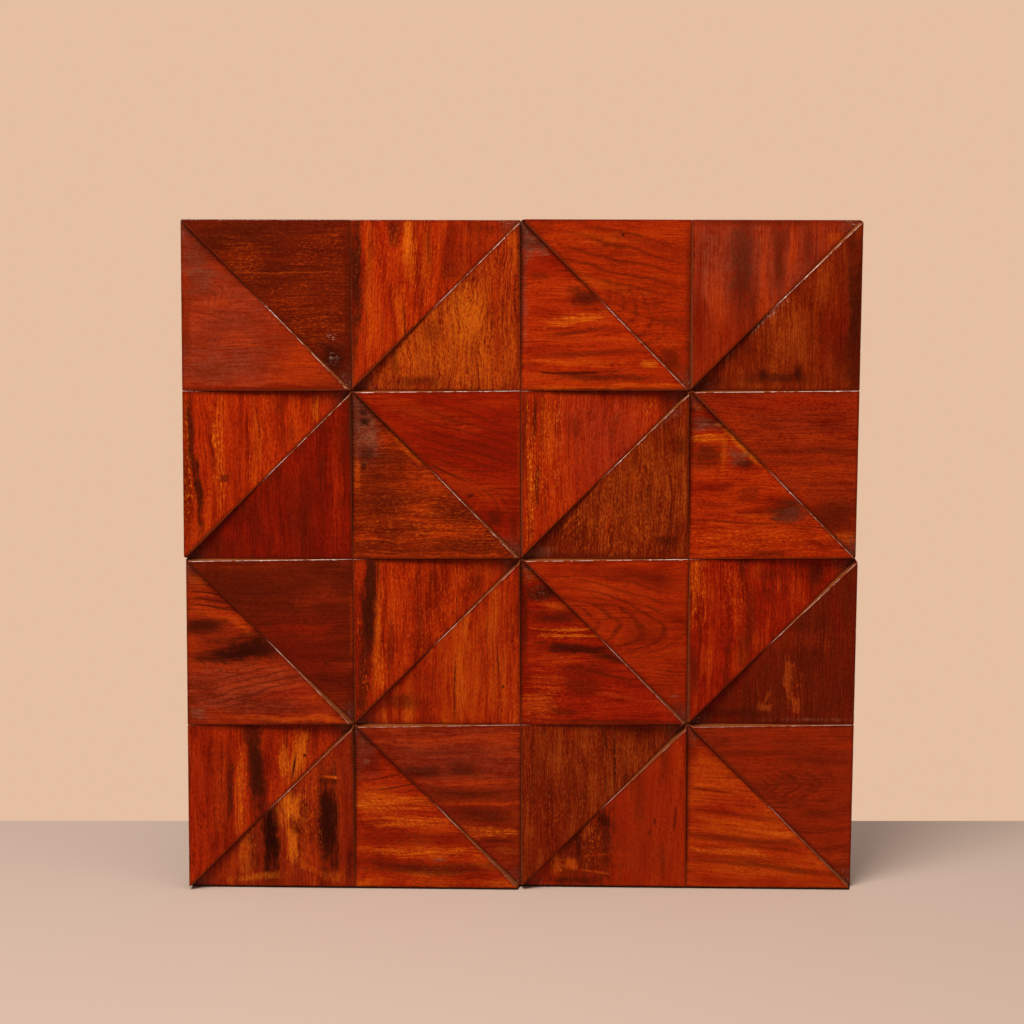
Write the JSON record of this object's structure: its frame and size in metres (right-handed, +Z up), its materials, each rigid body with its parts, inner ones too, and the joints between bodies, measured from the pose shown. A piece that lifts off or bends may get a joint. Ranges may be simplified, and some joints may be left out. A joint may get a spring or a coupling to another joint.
{
  "type": "wall panel",
  "caption": "Square wall panel of lacquered hardwood wedge blocks, diagonally cut, with sloping faces that meet high against low in pinwheels, on a flat backing board.",
  "frame": {"origin": "middle of the flat back face of the backing board, where the panel meets the wall", "axes": "+X to the right seen from the front, +Y into the wall, +Z up; the sloped faces look towards -Y"},
  "size_m": [0.6094, 0.031, 0.6094],
  "materials": {
    "wood_dark_brown": "gloss lacquer over very dark brown stained hardwood, worn and dusty at the edges",
    "wood_red_brown": "gloss lacquer over red-brown stained hardwood, worn and dusty at the edges",
    "wood_red": "gloss lacquer over red stained hardwood, worn and dusty at the edges",
    "wood_orange": "gloss lacquer over orange stained hardwood with dark streaks, worn and dusty at the edges",
    "wood_golden": "gloss lacquer over golden brown hardwood with fine pores, worn and dusty at the edges",
    "backing_plywood": "bare sanded plywood"
  },
  "bodies": {
    "root": {"backing_board": "backing_plywood", "row1_col1_lower_left_block": "wood_red_brown", "row1_col1_upper_right_block": "wood_dark_brown", "row1_col2_upper_left_block": "wood_orange", "row1_col2_lower_right_block": "wood_golden", "row1_col3_lower_left_block": "wood_orange", "row1_col3_upper_right_block": "wood_orange", "row1_col4_upper_left_block": "wood_red_brown", "row1_col4_lower_right_block": "wood_dark_brown", "row2_col1_upper_left_block": "wood_orange", "row2_col1_lower_right_block": "wood_red", "row2_col2_lower_left_block": "wood_dark_brown", "row2_col2_upper_right_block": "wood_red", "row2_col3_upper_left_block": "wood_red", "row2_col3_lower_right_block": "wood_golden", "row2_col4_lower_left_block": "wood_orange", "row2_col4_upper_right_block": "wood_red_brown", "row3_col1_lower_left_block": "wood_red_brown", "row3_col1_upper_right_block": "wood_dark_brown", "row3_col2_upper_left_block": "wood_orange", "row3_col2_lower_right_block": "wood_golden", "row3_col3_lower_left_block": "wood_red", "row3_col3_upper_right_block": "wood_red", "row3_col4_upper_left_block": "wood_red", "row3_col4_lower_right_block": "wood_dark_brown", "row4_col1_upper_left_block": "wood_orange", "row4_col1_lower_right_block": "wood_dark_brown", "row4_col2_lower_left_block": "wood_orange", "row4_col2_upper_right_block": "wood_red_brown", "row4_col3_upper_left_block": "wood_dark_brown", "row4_col3_lower_right_block": "wood_red", "row4_col4_lower_left_block": "wood_orange", "row4_col4_upper_right_block": "wood_red_brown"}
  },
  "joints": []
}
